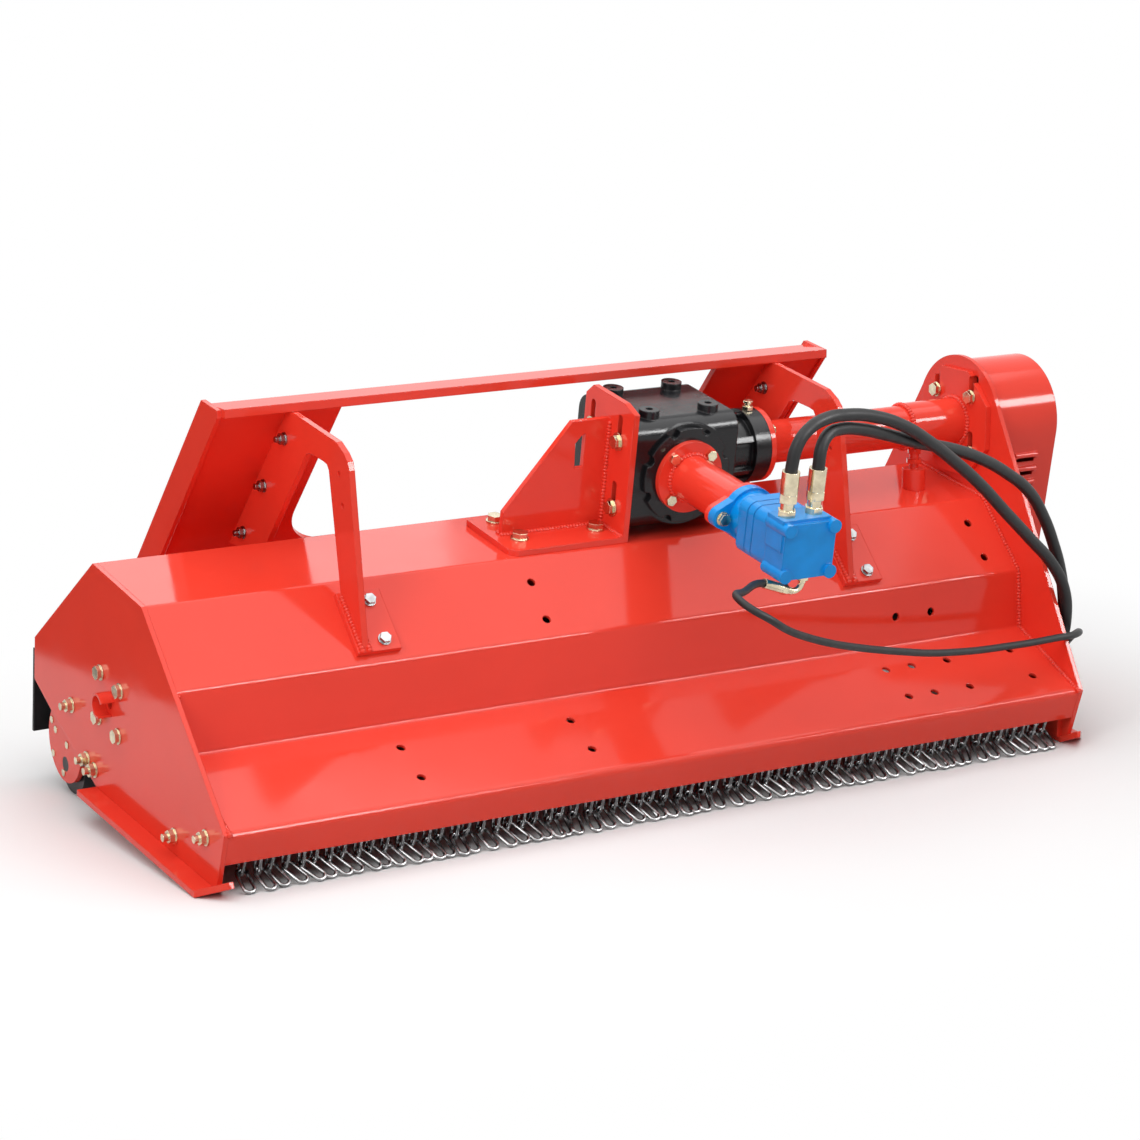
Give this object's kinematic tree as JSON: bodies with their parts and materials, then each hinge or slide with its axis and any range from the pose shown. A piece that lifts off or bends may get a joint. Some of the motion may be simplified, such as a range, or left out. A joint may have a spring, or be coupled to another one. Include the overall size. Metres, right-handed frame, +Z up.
{
  "type": "flail mower",
  "caption": "Loader-mounted flail mower: folded hood, hammer rotor, belt drive, gearbox with hydraulic motor, chain curtain, skids, rear roller and quick-attach plate.",
  "frame": {"origin": "middle of the machine's footprint, on the ground, measured without the hoses", "axes": "+X along the hood towards the belt cover, +Y back towards the loader, +Z up"},
  "size_m": [1.729, 0.9379, 0.6415],
  "materials": {
    "hood_paint": "gloss",
    "black_casting": "gloss black paint",
    "zinc_plate": "yellow zinc",
    "plain_steel": "satin",
    "coupler_steel": "satin",
    "motor_paint": "gloss blue paint",
    "rubber": "matt",
    "dark_steel": "matt",
    "roller_paint": "satin black"
  },
  "bodies": {
    "mower": {"hood_sheet": "hood_paint", "rear_sheet": "hood_paint", "flap_strip": "hood_paint", "left_end_plate": "hood_paint", "right_end_plate": "hood_paint", "left_skid": "hood_paint", "right_skid": "hood_paint", "grease_guard": "hood_paint", "roller_brackets": "hood_paint", "gearbox_bracket": "hood_paint", "motor_adapter": "hood_paint", "drive_tube": "hood_paint", "tube_bearing_plate": "hood_paint", "tension_jack": "hood_paint", "belt_cover": "hood_paint", "mount_plate": "hood_paint", "mount_lip": "hood_paint", "left_mount_bracket": "hood_paint", "right_mount_bracket": "hood_paint", "rotor_bearings": "black_casting", "gearbox_housing": "black_casting", "gearbox_covers": "black_casting", "side_bolts": "zinc_plate", "deck_bolts": "zinc_plate", "gearbox_bolts": "zinc_plate", "breather_plug": "zinc_plate", "hose_fittings": "zinc_plate", "mount_bolts": "plain_steel", "curtain_rod": "plain_steel", "hose_couplers": "coupler_steel", "motor_housing": "motor_paint", "motor_end_cap": "motor_paint", "rear_flap": "rubber", "drive_belts": "rubber", "pressure_hose": "rubber", "return_hose": "rubber", "drain_line": "rubber"},
    "rotor": {"rotor": "dark_steel", "rotor_pulley": "dark_steel"},
    "input_pinion": {"input_pinion": "dark_steel"},
    "cross_shaft": {"cross_shaft_bar": "plain_steel", "cross_gear": "dark_steel", "cross_pulley": "dark_steel"},
    "rear_roller": {"rear_roller": "roller_paint"},
    "chain_section_1": {"chain_section_1": "plain_steel"},
    "chain_section_2": {"chain_section_2": "plain_steel"},
    "chain_section_3": {"chain_section_3": "plain_steel"},
    "chain_section_4": {"chain_section_4": "plain_steel"},
    "hammer_1": {"hammer_1": "dark_steel"},
    "hammer_2": {"hammer_2": "dark_steel"},
    "hammer_3": {"hammer_3": "dark_steel"},
    "hammer_4": {"hammer_4": "dark_steel"},
    "hammer_5": {"hammer_5": "dark_steel"},
    "hammer_6": {"hammer_6": "dark_steel"},
    "hammer_7": {"hammer_7": "dark_steel"},
    "hammer_8": {"hammer_8": "dark_steel"},
    "hammer_9": {"hammer_9": "dark_steel"},
    "hammer_10": {"hammer_10": "dark_steel"},
    "hammer_11": {"hammer_11": "dark_steel"},
    "hammer_12": {"hammer_12": "dark_steel"}
  },
  "joints": [
    {"name": "rotor_spin", "type": "hinge", "parent": "mower", "child": "rotor", "pos_m": [-0.047, 0.0859, 0.199], "axis": [1, 0, 0], "continuous": true},
    {"name": "cross_shaft_spin", "type": "hinge", "parent": "mower", "child": "cross_shaft", "pos_m": [0.353, 0.0299, 0.501], "axis": [1, 0, 0], "continuous": true},
    {"name": "input_spin", "type": "hinge", "parent": "mower", "child": "input_pinion", "pos_m": [0.1125, 0.0299, 0.501], "axis": [0, -0.9863, -0.165], "continuous": true},
    {"name": "roller_spin", "type": "hinge", "parent": "mower", "child": "rear_roller", "pos_m": [-0.047, 0.2939, 0.05], "axis": [1, 0, 0], "continuous": true},
    {"name": "curtain_1_swing", "type": "hinge", "parent": "mower", "child": "chain_section_1", "pos_m": [-0.047, -0.2871, 0.07], "axis": [1, 0, 0], "range_deg": [-8, 70]},
    {"name": "curtain_2_swing", "type": "hinge", "parent": "mower", "child": "chain_section_2", "pos_m": [-0.047, -0.2871, 0.07], "axis": [1, 0, 0], "range_deg": [-8, 70]},
    {"name": "curtain_3_swing", "type": "hinge", "parent": "mower", "child": "chain_section_3", "pos_m": [-0.047, -0.2871, 0.07], "axis": [1, 0, 0], "range_deg": [-8, 70]},
    {"name": "curtain_4_swing", "type": "hinge", "parent": "mower", "child": "chain_section_4", "pos_m": [-0.047, -0.2871, 0.07], "axis": [1, 0, 0], "range_deg": [-8, 70]},
    {"name": "hammer_1_swing", "type": "hinge", "parent": "rotor", "child": "hammer_1", "pos_m": [-0.71937, 0.0059, 0.199], "axis": [1, 0, 0], "range_deg": [-210, 30]},
    {"name": "hammer_2_swing", "type": "hinge", "parent": "rotor", "child": "hammer_2", "pos_m": [-0.59713, 0.1659, 0.199], "axis": [1, 0, 0], "range_deg": [-30, 210]},
    {"name": "hammer_3_swing", "type": "hinge", "parent": "rotor", "child": "hammer_3", "pos_m": [-0.47487, 0.0059, 0.199], "axis": [1, 0, 0], "range_deg": [-210, 30]},
    {"name": "hammer_4_swing", "type": "hinge", "parent": "rotor", "child": "hammer_4", "pos_m": [-0.35263, 0.1659, 0.199], "axis": [1, 0, 0], "range_deg": [-30, 210]},
    {"name": "hammer_5_swing", "type": "hinge", "parent": "rotor", "child": "hammer_5", "pos_m": [-0.23037, 0.0059, 0.199], "axis": [1, 0, 0], "range_deg": [-210, 30]},
    {"name": "hammer_6_swing", "type": "hinge", "parent": "rotor", "child": "hammer_6", "pos_m": [-0.10812, 0.1659, 0.199], "axis": [1, 0, 0], "range_deg": [-30, 210]},
    {"name": "hammer_7_swing", "type": "hinge", "parent": "rotor", "child": "hammer_7", "pos_m": [0.01413, 0.0059, 0.199], "axis": [1, 0, 0], "range_deg": [-210, 30]},
    {"name": "hammer_8_swing", "type": "hinge", "parent": "rotor", "child": "hammer_8", "pos_m": [0.13637, 0.1659, 0.199], "axis": [1, 0, 0], "range_deg": [-30, 210]},
    {"name": "hammer_9_swing", "type": "hinge", "parent": "rotor", "child": "hammer_9", "pos_m": [0.25862, 0.0059, 0.199], "axis": [1, 0, 0], "range_deg": [-210, 30]},
    {"name": "hammer_10_swing", "type": "hinge", "parent": "rotor", "child": "hammer_10", "pos_m": [0.38088, 0.1659, 0.199], "axis": [1, 0, 0], "range_deg": [-30, 210]},
    {"name": "hammer_11_swing", "type": "hinge", "parent": "rotor", "child": "hammer_11", "pos_m": [0.50313, 0.0059, 0.199], "axis": [1, 0, 0], "range_deg": [-210, 30]},
    {"name": "hammer_12_swing", "type": "hinge", "parent": "rotor", "child": "hammer_12", "pos_m": [0.62538, 0.1659, 0.199], "axis": [1, 0, 0], "range_deg": [-30, 210]}
  ],
  "couplings": [
    {"joint": "cross_shaft_spin", "follows": "rotor_spin", "ratio": 1},
    {"joint": "input_spin", "follows": "rotor_spin", "ratio": -1}
  ]
}
